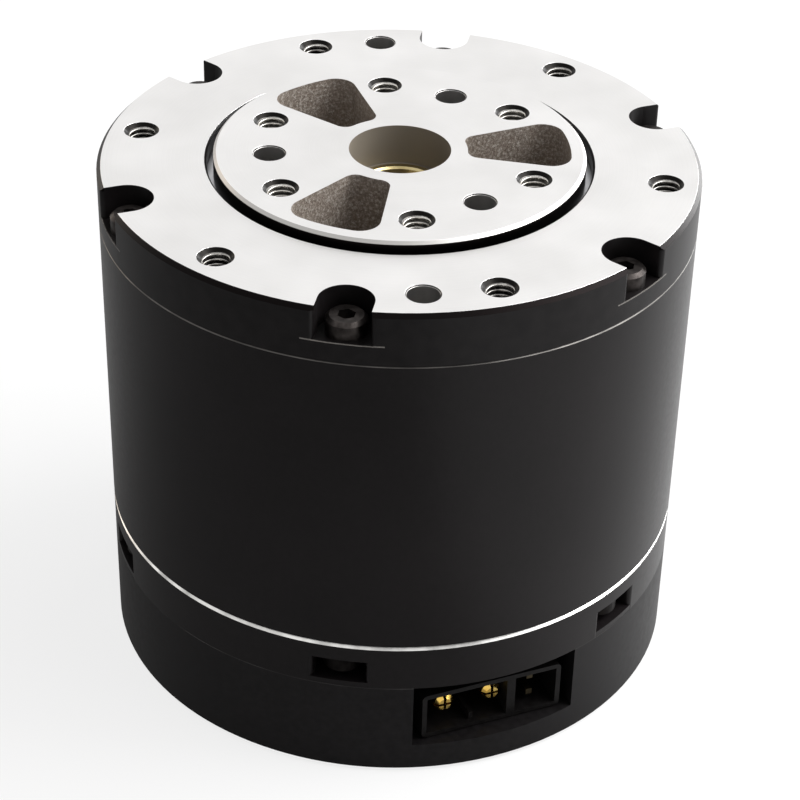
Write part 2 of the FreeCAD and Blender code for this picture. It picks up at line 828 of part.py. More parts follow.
def board_screws():
    """Pan head screws that hold the board up against its posts."""
    top = board_top + cap_screw_bite - tip_gap
    head = screw_head_radius
    screw = turned([(0, board_bottom - board_screw_head), (head, board_bottom - board_screw_head),
                    (head, board_bottom), (screw_radius, board_bottom), (screw_radius, top),
                    (0, top)])
    return [placed(screw, post_circle, a) for a in post_angles()]


def board_components():
    """The position sensor under the magnet, a processor, six switches and two capacitors."""
    row = connector_angle + 180
    parts = [chip(sensor_size, 0, connector_angle),
             chip(processor_size, processor_offset, connector_angle)]
    parts += [chip(switch_size, switch_circle, row + switch_angle_step * k)
              for k in (-3.5, -2.5, -1.5, -0.5, 0.5, 1.5)]
    capacitor = disc(capacitor_radius, board_bottom - capacitor_height, board_bottom)
    parts += [placed(capacitor, capacitor_circle, row + side * capacitor_fan_angle / 2)
              for side in (-1, 1)]
    return parts


def chip(size, radius, degrees):
    """A square package on top of the board with its middle at a radius and an angle."""
    half = size / 2
    return block(radius - half, radius + half, -half, half, board_top, board_top + chip_height,
                 degrees)


def pin_height():
    return (shell_bottom + board_bottom) / 2


def power_pins():
    """Split bullet pins with bevelled tips, each with a tail up through the board."""
    near, far = shell_face - shell_length + tail_inset, shell_face - pin_recess
    rim = power_pin_radius - power_pin_bevel
    pin = turned([(0, near), (power_pin_radius, near), (power_pin_radius, far - power_pin_bevel),
                  (rim, far), (0, far)])
    pin.rotate(Vector(), Vector(0, 1, 0), 90)
    reach = power_pin_radius + 1
    half = power_pin_slot / 2
    for tall, wide in ((reach, half), (half, reach)):
        slot = Part.makeBox(power_pin_slot_length, 2 * wide, 2 * tall,
                            Vector(far - power_pin_slot_length, -wide, -tall))
        pin = pin.cut(slot)
    tail = power_pin_radius / 2
    pin = pin.fuse(Part.makeBox(2 * tail, 2 * tail, board_top - pin_height(),
                                Vector(near + tail, -tail, 0))).removeSplitter()
    pins = []
    for side in (pin_side, pin_side + pin_pitch):
        copy = pin.copy()
        copy.translate(Vector(0, side, pin_height()))
        pins.append(rotated(copy, connector_angle))
    return pins


def signal_pins():
    """Square pins one above the other, the lower one with its tail further back."""
    far, half = shell_face - pin_recess, signal_pin_half
    left, right = signal_pin_side + half, signal_pin_side - half
    pins = []
    for level, inset in ((1, tail_inset + tail_step), (-1, tail_inset)):
        near = shell_face - shell_length + inset
        height = pin_height() + level * signal_pin_pitch / 2
        pin = block(near, far, right, left, height - half, height + half, connector_angle)
        tail = block(near, near + 2 * half, right, left, height, board_top, connector_angle)
        pins.append(pin.fuse(tail).removeSplitter())
    return pins


def connector_shell():
    """The plug's housing: a deep hood round the power pins, a second one for the signal pins."""
    near = shell_face - shell_length
    shell = block(near, shell_face, -shell_half_width, shell_half_width, shell_bottom,
                  board_bottom, 0)
    long_edges = [e for e in shell.Edges
                  if abs(e.Vertexes[0].Point.x - e.Vertexes[1].Point.x) > shell_length / 2]
    shell = shell.makeFillet(shell_round, long_edges)
    low, high = shell_bottom + shell_wall, board_bottom - shell_wall
    inside = shell_half_width - shell_wall
    power = block(shell_face - shell_cavity_depth, shell_face, -inside, divider_side, low, high, 0)
    signal = block(shell_face - signal_cavity_depth, shell_face, divider_side + divider_width,
                   inside, low, high, 0)
    key = block(shell_face - shell_cavity_depth, shell_face - shell_wall,
                key_side - key_width / 2, key_side + key_width / 2, low, low + key_height, 0)
    shell = rotated(shell.cut([power.cut(key), signal]), connector_angle)
    return shell.cut(power_pins() + signal_pins())


def main():
    os.makedirs("parts", exist_ok=True)
    save("front_flange", front_flange())
    save("front_flange_screws", *front_screws())
    save("main_housing", main_housing())
    save("rear_housing", rear_housing())
    save("rear_housing_screws", *rear_screws())
    save("rear_cap", rear_cap())
    save("rear_cap_screws", *cap_screws())
    save("output_flange", output_flange())
    save("centre_bush", centre_bush())
    save("output_retaining_ring", output_retaining_ring())
    save("output_bearing_inner_race", race(bearing_inner, -1))
    save("output_bearing_outer_race", race(bearing_outer, 1))
    save("output_bearing_rollers", *bearing_rollers())
    save("output_bearing_cage", bearing_cage())
    save("ring_gear", ring_gear())
    save("stage2_plate", stage2_plate())
    save("stage2_pins", *stage2_pins())
    save("stage1_carrier", stage1_carrier())
    save("stage1_pins", *stage1_pins())
    for letter, angle in zip("abc", angles(stage2_angle, planet_count)):
        save(f"stage2_planet_{letter}", planet(angle, stage2_bottom, stage2_top))
    for letter, angle in zip("abc", angles(stage1_angle, planet_count)):
        save(f"stage1_planet_{letter}", planet(angle, stage1_bottom, stage1_top))
    save("rotor_shaft", rotor_shaft())
    save("rotor_bell", rotor_bell())
    save("rotor_magnets", *rotor_magnets())
    save("rotor_bearing_inner_rings", *rotor_bearing_inner_rings())
    save("rotor_bearing_outer_rings", *rotor_bearing_outer_rings())
    save("encoder_magnet_holder", encoder_magnet_holder())
    save("encoder_magnet", encoder_magnet())
    save("stator_core", stator_core())
    save("stator_coils", *stator_coils())
    save("motor_leads", *motor_leads())
    save("driver_board", driver_board())
    save("board_screws", *board_screws())
    save("board_components", *board_components())
    save("connector_shell", connector_shell())
    save("connector_power_pins", *power_pins())
    save("connector_signal_pins", *signal_pins())


main()
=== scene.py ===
"""Looks of a robot joint actuator: a round black housing with a bare machined output end.

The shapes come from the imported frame. This script gives each node its finish, cuts the screw
threads that line the tapped holes, closes the feet of the rear pockets with low sills, and sets
up the floor, the lights and the camera.
Lengths are metres. The origin is the centre of the rear face and +Z runs to the output disc.
"""
import json
import math

import bmesh
import bpy
import numpy as np
from mathutils import Matrix, Vector

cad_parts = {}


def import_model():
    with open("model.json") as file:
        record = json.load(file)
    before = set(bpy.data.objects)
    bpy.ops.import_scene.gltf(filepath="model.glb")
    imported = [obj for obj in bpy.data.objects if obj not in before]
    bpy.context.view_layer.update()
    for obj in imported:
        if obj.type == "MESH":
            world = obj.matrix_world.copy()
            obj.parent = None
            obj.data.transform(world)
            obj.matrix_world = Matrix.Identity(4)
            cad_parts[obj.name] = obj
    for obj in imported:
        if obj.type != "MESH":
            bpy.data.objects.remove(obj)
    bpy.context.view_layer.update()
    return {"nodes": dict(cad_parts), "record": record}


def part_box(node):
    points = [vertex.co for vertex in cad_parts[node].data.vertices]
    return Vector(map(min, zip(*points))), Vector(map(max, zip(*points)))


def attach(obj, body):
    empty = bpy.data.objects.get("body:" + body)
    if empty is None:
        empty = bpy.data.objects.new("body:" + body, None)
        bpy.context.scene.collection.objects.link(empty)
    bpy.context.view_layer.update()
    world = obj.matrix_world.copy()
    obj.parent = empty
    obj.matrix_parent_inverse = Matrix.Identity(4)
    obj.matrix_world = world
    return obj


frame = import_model()

MM = 0.001

# ---- sizes read from the frame ----
MOUNTS = {mount["name"]: mount for mount in frame["record"]["mounts"]}
FLANGE_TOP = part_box("front_flange")[1].z
DISC_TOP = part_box("output_flange")[1].z
TUBE_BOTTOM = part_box("main_housing")[0].z
TUBE_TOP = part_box("main_housing")[1].z
CAP_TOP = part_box("rear_cap")[1].z
BODY_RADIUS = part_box("main_housing")[1].x
BORE_RADIUS = MOUNTS["output_bore"]["dims"]["r_mm"] * MM
SCREW_HEAD_HEIGHT = 1.7 * MM
POCKET_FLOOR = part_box("front_flange_screws")[1].z - SCREW_HEAD_HEIGHT

# ---- where one finish meets another ----
SKIN = 0.01 * MM
RIM = 0.05 * MM
FLANGE_BEVEL = 0.41 * MM
HOUSING_BEVEL = 0.5 * MM
TUBE_BEVEL = 0.19 * MM
CAP_EDGE = 0.07 * MM
DISC_RADIUS = 17.85 * MM
DISC_EDGE_WIDTH = 0.4 * MM
DISC_EDGE_DROP = 0.28 * MM
BORE_REACH = 0.2 * MM

# ---- screw pockets, their sills and the windows ----
POCKET_COUNT = 6
POCKET_ANGLE = math.radians(20.9)
POCKET_HALF_ANGLE = math.radians(7.5)
# The painted highlight along each pocket floor's outer edge: its half height about the floor, and
# its reach in from the side.
FLOOR_LINE_HALF_HEIGHT = 0.07 * MM
FLOOR_LINE_DEPTH = 0.10 * MM
SILL_HEIGHT = 0.6 * MM
SILL_DEPTH = 1.9 * MM
SILL_HALF_ANGLE = math.radians(5.8)
SILL_SECTIONS = 9
WINDOW_COUNT = 3
WINDOW_ANGLE = math.radians(6.6)
WINDOW_HALF_ANGLE = math.radians(18.6)
WINDOW_INNER_RADIUS = 6.3 * MM
WINDOW_OUTER_RADIUS = 16.6 * MM

# ---- tapped holes and dowel holes ----
FLANGE_THREAD_ANGLE = math.radians(-9.1)
FLANGE_DOWEL_ANGLE = math.radians(95.5)
OUTPUT_THREAD_ANGLE = math.radians(37.2)
OUTPUT_DOWEL_ANGLE = math.radians(67.0)
THREAD_MOUTH = 1.76 * MM
THREAD_WALL = 1.36 * MM
DOWEL_MOUTH = 1.64 * MM
DOWEL_WALL = 1.52 * MM
THREAD_PITCH = 0.5 * MM
THREAD_DEPTH = 4.3 * MM
THREAD_START = 0.42 * MM
THREAD_HEIGHT = 0.17 * MM
# Shares: of the height sunk into the wall, of the pitch, and of the height gained in a turn.
THREAD_SINK = 0.03
THREAD_HALF_FOOT = 0.46
THREAD_SWELL = 2.5
# Turns left out at the bottom of the hole, and steps in each turn.
THREAD_TURNS_SPARED = 1.2
THREAD_STEPS = 28

# ---- camera ----
CAMERA_LENS = 105.3
CAMERA_SENSOR = 36.0
CAMERA_DISTANCE = 238.47 * MM
CAMERA_ELEVATION = math.radians(33.85)
CAMERA_ROLL = math.radians(1.49)
CAMERA_AIM_HEIGHT = 26.65 * MM
CAMERA_AIM_RIGHT = 0.62 * MM
CAMERA_AIM_UP = -1.90 * MM

# ---- floor ----
FLOOR_HALF_SIDE = 3.0
FLOOR_DROP = 0.05 * MM
FLOOR_WHITE = 0.8
# Painted shade in what glossy rays see of the floor: its glow runs from FLOOR_DIM at FLOOR_DIM_X up
# to full white at FLOOR_BRIGHT_X.
FLOOR_DIM_X = 10 * MM
FLOOR_BRIGHT_X = 38 * MM
FLOOR_DIM = 0.22


# ---- shader helpers ----
def new_finish(name):
    """An empty material with its shader, as (material, node tree, shader)."""
    material = bpy.data.materials.new(name)
    material.use_nodes = True
    tree = material.node_tree
    return material, tree, tree.nodes["Principled BSDF"]


def add(tree, kind, **values):
    """A node of a kind with some of its inputs or properties set."""
    made = tree.nodes.new(kind)
    for key, value in values.items():
        if hasattr(made, key):
            setattr(made, key, value)
        else:
            made.inputs[key.replace("_", " ")].default_value = value
    return made


def link(tree, source, target):
    """Joins one node's output to another's input."""
    tree.links.new(source, target)


def math_node(tree, operation, first, second=None, third=None):
    """The result of a math node. Each operand is a number or another node's output."""
    made = tree.nodes.new("ShaderNodeMath")
    made.operation = operation
    for socket, value in zip(made.inputs, (first, second, third)):
        if value is None:
            continue
        if isinstance(value, (int, float)):
            socket.default_value = value
        else:
            link(tree, value, socket)
    return made.outputs[0]


def above(tree, value, limit):
    """1 where the value is over the limit, else 0."""
    return math_node(tree, "GREATER_THAN", value, limit)


def below(tree, value, limit):
    """1 where the value is under the limit, else 0."""
    return math_node(tree, "LESS_THAN", value, limit)


def place(tree):
    """The object coordinates and their parts, as (vector, x, y, z)."""
    coordinates = add(tree, "ShaderNodeTexCoord").outputs["Object"]
    parts = add(tree, "ShaderNodeSeparateXYZ")
    link(tree, coordinates, parts.inputs[0])
    return coordinates, *parts.outputs


def polar(tree):
    """Radius and angle round the axis, and height, at each point of a surface."""
    _, x, y, z = place(tree)
    squared = math_node(tree, "ADD", math_node(tree, "MULTIPLY", x, x),
                        math_node(tree, "MULTIPLY", y, y))
    return math_node(tree, "SQRT", squared), math_node(tree, "ARCTAN2", y, x), z


def from_nearest(tree, angle, first, count):
    """The angle measured from the nearest of count evenly spaced angles."""
    sector = math.pi / count
    return math_node(tree, "WRAP", math_node(tree, "SUBTRACT", angle, first), sector, -sector)


def near_angles(tree, angle, first, count, half):
    """1 where the angle lies within half of one of count evenly spaced angles, else 0."""
    away = from_nearest(tree, angle, first, count)
    return below(tree, math_node(tree, "ABSOLUTE", away), half)


def near_holes(tree, radius, angle, mount, first, reach):
    """1 within reach of one of a mount's evenly spaced holes, else 0.

    The distance d to the nearest hole follows d^2 = r^2 + c^2 - 2 r c cos(a), where c is the
    radius of the holes' circle and a the angle to the nearest hole.
    """
    circle = mount["dims"]["pcd_mm"] / 2 * MM
    away = from_nearest(tree, angle, first, mount["dims"]["count"])
    cosine = math_node(tree, "COSINE", away)
    mixed = math_node(tree, "MULTIPLY", math_node(tree, "MULTIPLY", radius, cosine), -2 * circle)
    squared = math_node(tree, "MULTIPLY_ADD", radius, radius, mixed)
    return below(tree, squared, reach ** 2 - circle ** 2)


def either(tree, *masks):
    """1 where any of the masks is 1."""
    found = masks[0]
    for mask in masks[1:]:
        found = math_node(tree, "MAXIMUM", found, mask)
    return found


def both(tree, *masks):
    """1 where all the masks are 1."""
    found = masks[0]
    for mask in masks[1:]:
        found = math_node(tree, "MULTIPLY", found, mask)
    return found


def noise(tree, scale, detail=2.0, stretch=None, roughness=0.5):
    """A noise pattern on the object coordinates, stretched per axis if asked."""
    coordinates = add(tree, "ShaderNodeTexCoord").outputs["Object"]
    if stretch:
        mapping = add(tree, "ShaderNodeMapping")
        mapping.inputs["Scale"].default_value = stretch
        link(tree, coordinates, mapping.inputs["Vector"])
        coordinates = mapping.outputs[0]
    made = add(tree, "ShaderNodeTexNoise", Scale=scale, Detail=detail, Roughness=roughness)
    link(tree, coordinates, made.inputs["Vector"])
    return made.outputs["Fac"]


def ramp(tree, factor, *stops):
    """A colour ramp with (position, colour) stops. A colour may be one grey number."""
    made = add(tree, "ShaderNodeValToRGB")
    elements = made.color_ramp.elements
    for k, (position, colour) in enumerate(stops):
        stop = elements[k] if k < 2 else elements.new(position)
        stop.position = position
        grey = isinstance(colour, (int, float))
        stop.color = (colour,) * 3 + (1,) if grey else (*colour, 1)
    link(tree, factor, made.inputs[0])
    return made.outputs[0]


def mix_colour(tree, factor, first, second):
    """The first colour where the factor is 0 and the second where it is 1."""
    made = add(tree, "ShaderNodeMix", data_type="RGBA")
    link(tree, factor, made.inputs[0])
    for socket, value in ((made.inputs[6], first), (made.inputs[7], second)):
        if isinstance(value, tuple):
            socket.default_value = (*value, 1)
        else:
            link(tree, value, socket)
    return made.outputs[2]


def mix_number(tree, factor, first, second):
    """The first number where the factor is 0 and the second where it is 1."""
    span = math_node(tree, "SUBTRACT", second, first)
    return math_node(tree, "MULTIPLY_ADD", factor, span, first)


def bump(tree, height, distance, strength=1.0, onto=None):
    """A bump from a height pattern, laid over another bump if one is given."""
    made = add(tree, "ShaderNodeBump", Strength=strength, Distance=distance)
    link(tree, height, made.inputs["Height"])
    if onto:
        link(tree, onto, made.inputs["Normal"])
    return made.outputs[0]


def turning_marks(tree, pitch):
    """Fine rings left by a lathe tool: a noise of the radius alone, wavering a little."""
    radius, _, _ = polar(tree)
    waver = noise(tree, 90.0, 1.0)
    rings = add(tree, "ShaderNodeTexNoise", noise_dimensions="1D", Scale=1.0, Detail=3.0)
    along = math_node(tree, "DIVIDE", radius, pitch)
    link(tree, math_node(tree, "ADD", along, math_node(tree, "MULTIPLY", waver, 0.6)),
         rings.inputs["W"])
    return rings.outputs["Fac"]


# ---- colours and gloss, as (dark, pale) where a finish varies between two ----
BLACK_GLOSS = 0.15
BARE_METAL = ((0.75, 0.74, 0.728), (0.83, 0.82, 0.812))
BEVEL_METAL = (0.8, 0.79, 0.77)
TUBE_BEVEL_METAL = (0.10, 0.095, 0.09)
# Painted shade in the holes: near black round the mouths, and dark copies of the bare metal down
# the tapped walls, the flange's darker than the disc's.
MOUTH_SHADE = (0.008, 0.0075, 0.007)
FLANGE_THREAD_SHADE = (0.014, 0.013, 0.012)
DISC_THREAD_SHADE = (0.10, 0.097, 0.092)
DOWEL_METAL = (0.46, 0.45, 0.44)
# Painted shade on the disc: its bevel darker than its face, and its side black down in the gap.
DISC_EDGE_SHADE = (0.42, 0.41, 0.395)
DISC_SIDE_SHADE = (0.012, 0.010, 0.010)
BORE_METAL = (0.24, 0.21, 0.17)
CAST_METAL = ((0.17, 0.132, 0.104), (0.27, 0.228, 0.192), (0.56, 0.52, 0.475))
FLANGE_BLACK = ((0.0046, 0.0038, 0.0040), (0.0084, 0.0072, 0.0074))
# Painted shade on the flange bevel: a near black metal, darker than the side.
FLANGE_BEVEL_SHADE = (0.006, 0.005, 0.005)
# Painted highlight: a grey line along each pocket floor's outer edge.
FLOOR_LINE_HIGHLIGHT = (0.15, 0.14, 0.13)
SATIN_BLACK = ((0.0056, 0.0046, 0.0048), (0.0098, 0.0082, 0.0086))
DUST = (0.32, 0.28, 0.26)
CAP_BLACK = ((0.0046, 0.0040, 0.0043), (0.0086, 0.0076, 0.0080))
# Painted highlight: a paler line in patches along the cap's top rim.
CAP_RIM_HIGHLIGHT = (0.055, 0.052, 0.050)
NYLON_BLACK = ((0.0035, 0.0030, 0.0030), (0.0070, 0.0062, 0.0062))
PACKAGE_BLACK = ((0.010, 0.010, 0.011), (0.02, 0.02, 0.022))
BOARD_GREEN = ((0.004, 0.022, 0.012), (0.012, 0.06, 0.03))


# ---- finishes ----
def machined_metal(tree):
    """Bare turned aluminium, as (colour, roughness, bump): pale, with faint rings and clouds."""
    rings = turning_marks(tree, 0.12 * MM)
    clouds = noise(tree, 160.0, 4.0)
    tone = math_node(tree, "MULTIPLY_ADD", rings, 0.3, math_node(tree, "MULTIPLY", clouds, 0.7))
    colour = ramp(tree, tone, (0.25, BARE_METAL[0]), (0.75, BARE_METAL[1]))
    rough = math_node(tree, "MULTIPLY_ADD", clouds, 0.16, 0.26)
    return colour, rough, bump(tree, rings, 0.004 * MM, 0.5)


def with_holes(tree, radius, angle, under_face, bare, threads, thread_angle, dowels,
               dowel_angle, thread_shade):
    """Lays the colours of tapped holes and dowel holes into a face, as (colour, holes).

    Each hole has painted shade round its mouth, near black over its broken edge. A tapped hole's
    wall is painted shade too, far darker than the bare face, and a dowel hole is reamed and paler.
    """
    threads, dowels = MOUNTS[threads], MOUNTS[dowels]
    mouths = either(tree, near_holes(tree, radius, angle, threads, thread_angle, THREAD_MOUTH),
                    near_holes(tree, radius, angle, dowels, dowel_angle, DOWEL_MOUTH))
    tapped = near_holes(tree, radius, angle, threads, thread_angle, THREAD_WALL)
    reamed = near_holes(tree, radius, angle, dowels, dowel_angle, DOWEL_WALL)
    # Painted shade: near black round the mouths and dark down the tapped walls.
    bored = mix_colour(tree, tapped, MOUTH_SHADE, thread_shade)
    bored = mix_colour(tree, reamed, bored, DOWEL_METAL)
    return mix_colour(tree, both(tree, under_face, mouths), bare, bored), mouths


def front_flange_finish():
    """A bare machined face with its holes. All that lies below the face is satin black.

    The bevel carries painted shade, blacker than the side, and each pocket's floor has a thin
    painted highlight along its outer edge.
    """
    material, tree, shader = new_finish("front_flange_bare_and_black")
    bare, bare_rough, bare_bump = machined_metal(tree)
    radius, angle, height = polar(tree)
    under_face = below(tree, height, FLANGE_TOP - SKIN)
    colour, holes = with_holes(tree, radius, angle, under_face, bare, "flange_bolts",
                               FLANGE_THREAD_ANGLE, "flange_dowels", FLANGE_DOWEL_ANGLE,
                               FLANGE_THREAD_SHADE)
    dark = both(tree, under_face, math_node(tree, "SUBTRACT", 1.0, holes))
    in_pocket = near_angles(tree, angle, POCKET_ANGLE, POCKET_COUNT, POCKET_HALF_ANGLE)
    # Painted highlight: a thin grey line where each pocket floor meets the side.
    off_floor = math_node(tree, "ABSOLUTE", math_node(tree, "SUBTRACT", height, POCKET_FLOOR))
    painted_floor_line = both(tree, in_pocket, below(tree, off_floor, FLOOR_LINE_HALF_HEIGHT),
                above(tree, radius, BODY_RADIUS - FLOOR_LINE_DEPTH))
    # Painted shade: the bevel becomes a near black metal.
    bevel = both(tree, dark, above(tree, radius, BODY_RADIUS - FLANGE_BEVEL),
                 above(tree, height, FLANGE_TOP - FLANGE_BEVEL))
    black = ramp(tree, noise(tree, 700.0, 3.0), (0.3, FLANGE_BLACK[0]), (0.7, FLANGE_BLACK[1]))
    black = mix_colour(tree, painted_floor_line, black, FLOOR_LINE_HIGHLIGHT)
    black = mix_colour(tree, bevel, black, FLANGE_BEVEL_SHADE)
    link(tree, mix_colour(tree, dark, colour, black), shader.inputs["Base Color"])
    link(tree, mix_number(tree, dark, bare_rough, 0.36), shader.inputs["Roughness"])
    metal = either(tree, math_node(tree, "SUBTRACT", 1.0, dark), bevel)
    link(tree, metal, shader.inputs["Metallic"])
    link(tree, bare_bump, shader.inputs["Normal"])
    shader.inputs["Specular IOR Level"].default_value = BLACK_GLOSS
    return material


def output_disc_finish():
    """Bare machined aluminium, with rough cast walls in the three windows and a dull bore.

    Its edge carries painted shade, a little darker than its face, and its side, down in the gap, is
    painted black as shade.
    """
    material, tree, shader = new_finish("output_disc_machined")
    bare, bare_rough, bare_bump = machined_metal(tree)
    radius, angle, height = polar(tree)
    under_face = below(tree, height, DISC_TOP - SKIN)
    window = near_angles(tree, angle, WINDOW_ANGLE, WINDOW_COUNT, WINDOW_HALF_ANGLE)
    cast = both(tree, window, under_face, above(tree, radius, WINDOW_INNER_RADIUS),
                below(tree, radius, WINDOW_OUTER_RADIUS))
    bore = both(tree, under_face, below(tree, radius, BORE_RADIUS + BORE_REACH))
    # Painted shade: the disc's side in the gap is painted black, and its bevel darkened.
    side = both(tree, below(tree, height, DISC_TOP - DISC_EDGE_DROP),
                above(tree, radius, DISC_RADIUS - RIM))
    edge = both(tree, under_face, above(tree, radius, DISC_RADIUS - DISC_EDGE_WIDTH))
    grain = noise(tree, 3600.0, 4.0, roughness=0.8)
    cast_colour = ramp(tree, grain, (0.36, CAST_METAL[0]), (0.5, CAST_METAL[1]),
                       (0.66, CAST_METAL[2]))
    colour, _ = with_holes(tree, radius, angle, under_face, bare, "output_bolts",
                           OUTPUT_THREAD_ANGLE, "output_dowels", OUTPUT_DOWEL_ANGLE,
                           DISC_THREAD_SHADE)
    colour = mix_colour(tree, edge, colour, DISC_EDGE_SHADE)
    colour = mix_colour(tree, bore, colour, BORE_METAL)
    colour = mix_colour(tree, cast, colour, cast_colour)
    colour = mix_colour(tree, side, colour, DISC_SIDE_SHADE)
    dull = either(tree, cast, bore)
    link(tree, colour, shader.inputs["Base Color"])
    link(tree, mix_number(tree, dull, bare_rough, 0.5), shader.inputs["Roughness"])
    link(tree, mix_number(tree, dull, 1.0, 0.3), shader.inputs["Metallic"])
    grain_height = math_node(tree, "MULTIPLY", grain, cast)
    link(tree, bump(tree, grain_height, 0.12 * MM, 1.0, bare_bump), shader.inputs["Normal"])
    return material


def satin_black(name, bevel_low, bevel_high, bevel_colour):
    """Black anodised aluminium with a soft grain and a few dust specks.

    Between the two heights the coating is turned away, down to a metal of the bevel's colour.
    """
    material, tree, shader = new_finish(name)
    grain = noise(tree, 1800.0, 3.0)
    clouds = noise(tree, 60.0, 3.0)
    tone = math_node(tree, "MULTIPLY_ADD", grain, 0.35, math_node(tree, "MULTIPLY", clouds, 0.65))
    colour = ramp(tree, tone, (0.3, SATIN_BLACK[0]), (0.7, SATIN_BLACK[1]))
    dust = add(tree, "ShaderNodeTexVoronoi", Scale=150.0, Randomness=1.0)
    coordinates, _, _, height = place(tree)
    link(tree, coordinates, dust.inputs["Vector"])
    specks = both(tree, above(tree, noise(tree, 75.0, 1.0), 0.70),
                  below(tree, dust.outputs["Distance"], 0.017))
    colour = mix_colour(tree, specks, colour, DUST)
    rough = math_node(tree, "MULTIPLY_ADD", grain, 0.10, 0.27)
    bare = both(tree, above(tree, height, bevel_low), below(tree, height, bevel_high))
    turned = ramp(tree, noise(tree, 420.0, 3.0), (0.35, tuple(c * 0.55 for c in bevel_colour)),
                  (0.65, bevel_colour))
    link(tree, mix_colour(tree, bare, colour, turned), shader.inputs["Base Color"])
    link(tree, mix_number(tree, bare, rough, 0.3), shader.inputs["Roughness"])
    link(tree, bare, shader.inputs["Metallic"])
    link(tree, bump(tree, grain, 0.003 * MM, 0.5), shader.inputs["Normal"])
    shader.inputs["Specular IOR Level"].default_value = BLACK_GLOSS
    return material


def moulded_black(name, tones, roughness, highlight_above=None):
    """Black moulded plastic: a fine even grain in the colour, the gloss and the surface.

    Above the height given, if there is one, the rim carries a painted highlight, paler in patches.
    """
    material, tree, shader = new_finish(name)
    grain = noise(tree, 1500.0, 3.0)
    colour = ramp(tree, grain, (0.3, tones[0]), (0.7, tones[1]))
    # Painted highlight along the rim, broken into patches.
    if highlight_above:
        radius, _, height = polar(tree)
        patches = ramp(tree, noise(tree, 90.0, 2.0), (0.42, 0.0), (0.6, 1.0))
        rim_highlight = both(tree, above(tree, height, highlight_above),
                      above(tree, radius, BODY_RADIUS - RIM), patches)
        colour = mix_colour(tree, rim_highlight, colour, CAP_RIM_HIGHLIGHT)
    link(tree, colour, shader.inputs["Base Color"])
    link(tree, math_node(tree, "MULTIPLY_ADD", grain, 0.15, roughness),
         shader.inputs["Roughness"])
    link(tree, bump(tree, grain, 0.006 * MM, 0.5), shader.inputs["Normal"])
    shader.inputs["Specular IOR Level"].default_value = BLACK_GLOSS
    return material


def plain_metal(name, dark, pale, roughness, scale=500.0, marks=0.004 * MM, stretch=None):
    """A metal whose tone and gloss vary with one noise pattern, stretched along a grain."""
    material, tree, shader = new_finish(name)
    pattern = noise(tree, scale, 4.0, stretch)
    link(tree, ramp(tree, pattern, (0.3, dark), (0.7, pale)), shader.inputs["Base Color"])
    link(tree, math_node(tree, "MULTIPLY_ADD", pattern, 0.2, roughness - 0.1),
         shader.inputs["Roughness"])
    link(tree, bump(tree, pattern, marks, 0.6), shader.inputs["Normal"])
    shader.inputs["Metallic"].default_value = 1.0
    return material


def solder_mask():
    """A dark green circuit board with paler copper runs under its coating."""
    material, tree, shader = new_finish("board_solder_mask")
    runs = add(tree, "ShaderNodeTexBrick", Scale=260.0, Mortar_Size=0.03)
    link(tree, add(tree, "ShaderNodeTexCoord").outputs["Object"], runs.inputs["Vector"])
    colour = ramp(tree, runs.outputs["Fac"], (0.0, BOARD_GREEN[0]), (1.0, BOARD_GREEN[1]))
    link(tree, colour, shader.inputs["Base Color"])
    shader.inputs["Roughness"].default_value = 0.35
    return material


# ---- pieces ----
def finished_piece(name, points, faces, body, material, smooth):
    """A mesh from whole arrays of points and faces that rides on a body."""
    mesh = bpy.data.meshes.new(name)
    mesh.from_pydata(points.tolist(), [], faces.tolist())
    mesh.polygons.foreach_set("use_smooth", np.full(len(faces), smooth))
    mesh.update()
    piece = bpy.data.objects.new(name, mesh)
    bpy.context.scene.collection.objects.link(piece)
    piece.data.materials.append(material)
    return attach(piece, body)


def open_tube_faces(rings, around):
    """Quads that join ring after ring of points. Both ends stay open."""
    ring, spoke = np.meshgrid(np.arange(rings - 1), np.arange(around), indexing="ij")
    here = ring * around + spoke
    aside = ring * around + (spoke + 1) % around
    return np.stack([here, aside, aside + around, here + around], -1).reshape(-1, 4)


def close_ends(piece):
    """Fills the open ends of a piece and turns its faces outwards."""
    made = bmesh.new()
    made.from_mesh(piece.data)
    bmesh.ops.holes_fill(made, edges=[e for e in made.edges if e.is_boundary], sides=8)
    bmesh.ops.recalc_face_normals(made, faces=made.faces)
    made.to_mesh(piece.data)
    made.free()


def bars(name, x, y, z, body, material, smooth=True):
    """Bars with closed ends, in one piece.

    Corner k of section j of bar i is at x[i, j, k], y[i, j, k] and z[i, j, k], where z may leave
    out the indices that it doesn't depend on.
    """
    count, sections, corners = x.shape
    points = np.stack([x, y, np.broadcast_to(z, x.shape)], -1).reshape(-1, 3)
    one = open_tube_faces(sections, corners)
    starts = np.arange(count)[:, None, None] * sections * corners
    faces = (one + starts).reshape(-1, 4)
    close_ends(finished_piece(name, points, faces, body, material, smooth))


